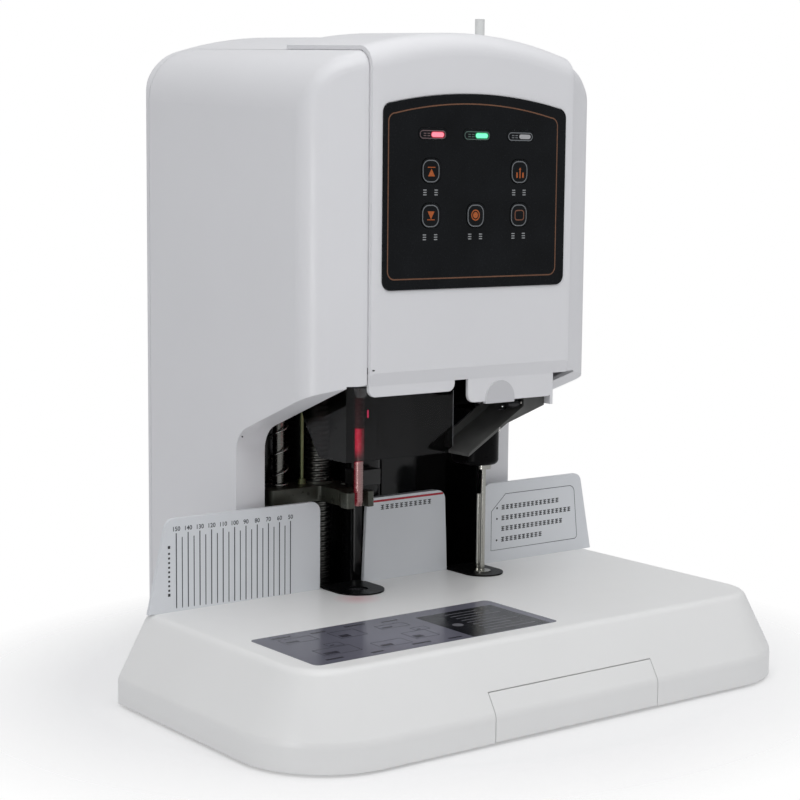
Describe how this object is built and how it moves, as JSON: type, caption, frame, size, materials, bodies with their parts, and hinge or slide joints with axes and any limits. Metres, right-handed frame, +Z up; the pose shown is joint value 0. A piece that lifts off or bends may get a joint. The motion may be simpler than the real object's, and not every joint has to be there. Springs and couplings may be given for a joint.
{
  "type": "document riveting machine",
  "caption": "Desk machine that drills a stack of paper and rivets it with nylon tube, with a keypad, paper stops, a smoked guard and a chip drawer.",
  "frame": {"origin": "on the desk under the middle of the machine's bounding box", "axes": "+X to the right of a person facing the keypad, +Y away from them towards the rear cover, +Z up"},
  "size_m": [0.476, 0.374, 0.504],
  "materials": {
    "casing_white": "fine satin",
    "plate_paint": "satin",
    "black_plastic": "satin",
    "panel_gloss": "gloss",
    "key_plastic": "satin",
    "lens_plastic": "gloss",
    "board_green": "solder mask",
    "plated_steel": "zinc plated",
    "bright_steel": "ground",
    "spring_steel": "drawn wire",
    "brass_rod": "satin",
    "black_gloss": "gloss",
    "arm_paint": "dark satin",
    "black_metal": "black satin",
    "cast_aluminium": "machined",
    "nylon_white": "satin",
    "roller_rubber": "matte",
    "foot_rubber": "matte",
    "smoked_acrylic": "smoked, clear gloss"
  },
  "bodies": {
    "machine": {"base_shell": "casing_white", "base_plate": "plated_steel", "rubber_feet": "foot_rubber", "left_side_shell": "casing_white", "right_side_shell": "casing_white", "rear_cover": "casing_white", "front_cover": "casing_white", "power_inlet": "black_plastic", "casing_screws": "plated_steel", "control_panel": "panel_gloss", "indicator_lenses": "lens_plastic", "control_board": "board_green", "left_stop_plate": "plate_paint", "middle_stop_plate": "plate_paint", "right_stop_plate": "plate_paint", "drill_station_insert": "black_gloss", "rivet_station_insert": "black_gloss", "cutting_pad": "black_plastic", "lower_die": "bright_steel", "guide_post": "bright_steel", "frame_plates": "plated_steel", "head_plate": "plated_steel", "bridge_plate": "plated_steel", "throat_liner": "black_gloss", "arm_rest": "arm_paint", "guide_rods": "bright_steel", "press_spring": "spring_steel", "screw_bearings": "black_plastic", "screw_motors": "black_metal", "nylon_tube": "nylon_white", "tube_feeder": "black_plastic", "tube_chute": "black_metal", "smoked_guard": "smoked_acrylic", "laser_module": "black_metal", "main_board": "board_green", "power_supply": "plated_steel"},
    "press_screw": {"lead_screw": "bright_steel"},
    "press_head": {"press_arm": "arm_paint", "sensor_rod": "brass_rod"},
    "drill_feed": {"feed_screw": "bright_steel"},
    "drill_head": {"drill_carriage": "cast_aluminium", "drill_motor": "black_metal"},
    "spindle": {"drill_spindle": "bright_steel", "drill_bit": "bright_steel"},
    "rivet_feed": {"rivet_screw": "bright_steel"},
    "rivet_ram": {"rivet_carriage": "cast_aluminium", "rivet_head": "black_metal", "upper_die": "bright_steel", "mandrel_lifter": "black_metal"},
    "mandrel": {"rivet_mandrel": "bright_steel"},
    "drawer": {"chip_drawer": "casing_white"},
    "raise_button": {"raise_key": "key_plastic"},
    "press_button": {"press_key": "key_plastic"},
    "lower_button": {"lower_key": "key_plastic"},
    "punch_button": {"punch_key": "key_plastic"},
    "reset_button": {"reset_key": "key_plastic"},
    "mains_switch": {"rocker_switch": "black_plastic"},
    "feed_wheel": {"drive_roller": "roller_rubber"},
    "pinch_wheel": {"pinch_roller": "roller_rubber"},
    "cutter": {"cutter_blade": "plated_steel"}
  },
  "joints": [
    {"name": "press_screw_spin", "type": "hinge", "parent": "machine", "child": "press_screw", "pos_m": [-0.0426, 0.0735, 0.2], "axis": [0, 0, 1], "range_deg": [0, 5580]},
    {"name": "press_slide", "type": "slide", "parent": "machine", "child": "press_head", "axis": [0, 0, 1], "range_m": [-0.061, 0], "deforming": ["press_spring"]},
    {"name": "drill_screw_spin", "type": "hinge", "parent": "machine", "child": "drill_feed", "pos_m": [-0.0426, 0.118, 0.3], "axis": [0, 0, 1], "range_deg": [0, 5985]},
    {"name": "drill_slide", "type": "slide", "parent": "machine", "child": "drill_head", "axis": [0, 0, 1], "range_m": [-0.0655, 0]},
    {"name": "drill_spin", "type": "hinge", "parent": "drill_head", "child": "spindle", "pos_m": [-0.0426, 0.0196, 0.3], "axis": [0, 0, 1], "continuous": true},
    {"name": "rivet_screw_spin", "type": "hinge", "parent": "machine", "child": "rivet_feed", "pos_m": [0.0772, 0.118, 0.3], "axis": [0, 0, 1], "range_deg": [0, 6840]},
    {"name": "rivet_slide", "type": "slide", "parent": "machine", "child": "rivet_ram", "axis": [0, 0, 1], "range_m": [-0.075, 0]},
    {"name": "mandrel_slide", "type": "slide", "parent": "machine", "child": "mandrel", "axis": [0, 0, 1], "range_m": [0, 0.088]},
    {"name": "drawer_slide", "type": "slide", "parent": "machine", "child": "drawer", "axis": [0, -1, 0], "range_m": [0, 0.12]},
    {"name": "raise_key_push", "type": "slide", "parent": "machine", "child": "raise_button", "axis": [0, 1, 0], "range_m": [0, 0.0008], "stiffness_N_per_m": 600},
    {"name": "press_key_push", "type": "slide", "parent": "machine", "child": "press_button", "axis": [0, 1, 0], "range_m": [0, 0.0008], "stiffness_N_per_m": 600},
    {"name": "lower_key_push", "type": "slide", "parent": "machine", "child": "lower_button", "axis": [0, 1, 0], "range_m": [0, 0.0008], "stiffness_N_per_m": 600},
    {"name": "punch_key_push", "type": "slide", "parent": "machine", "child": "punch_button", "axis": [0, 1, 0], "range_m": [0, 0.0008], "stiffness_N_per_m": 600},
    {"name": "reset_key_push", "type": "slide", "parent": "machine", "child": "reset_button", "axis": [0, 1, 0], "range_m": [0, 0.0008], "stiffness_N_per_m": 600},
    {"name": "switch_rock", "type": "hinge", "parent": "machine", "child": "mains_switch", "pos_m": [0.022, 0.1815, 0.06], "axis": [1, 0, 0], "range_deg": [-6, 6]},
    {"name": "feed_wheel_spin", "type": "hinge", "parent": "machine", "child": "feed_wheel", "pos_m": [0.05695, 0.018, 0.455], "axis": [0, 1, 0], "continuous": true},
    {"name": "pinch_wheel_spin", "type": "hinge", "parent": "machine", "child": "pinch_wheel", "pos_m": [0.08305, 0.018, 0.455], "axis": [0, 1, 0], "continuous": true},
    {"name": "cutter_slide", "type": "slide", "parent": "machine", "child": "cutter", "axis": [1, 0, 0], "range_m": [-0.008, 0]}
  ],
  "couplings": [
    {"joint": "press_screw_spin", "follows": "press_slide", "rad_per_m": -1570.8},
    {"joint": "drill_screw_spin", "follows": "drill_slide", "rad_per_m": -1570.8},
    {"joint": "rivet_screw_spin", "follows": "rivet_slide", "rad_per_m": -1570.8},
    {"joint": "pinch_wheel_spin", "follows": "feed_wheel_spin", "ratio": -1}
  ]
}
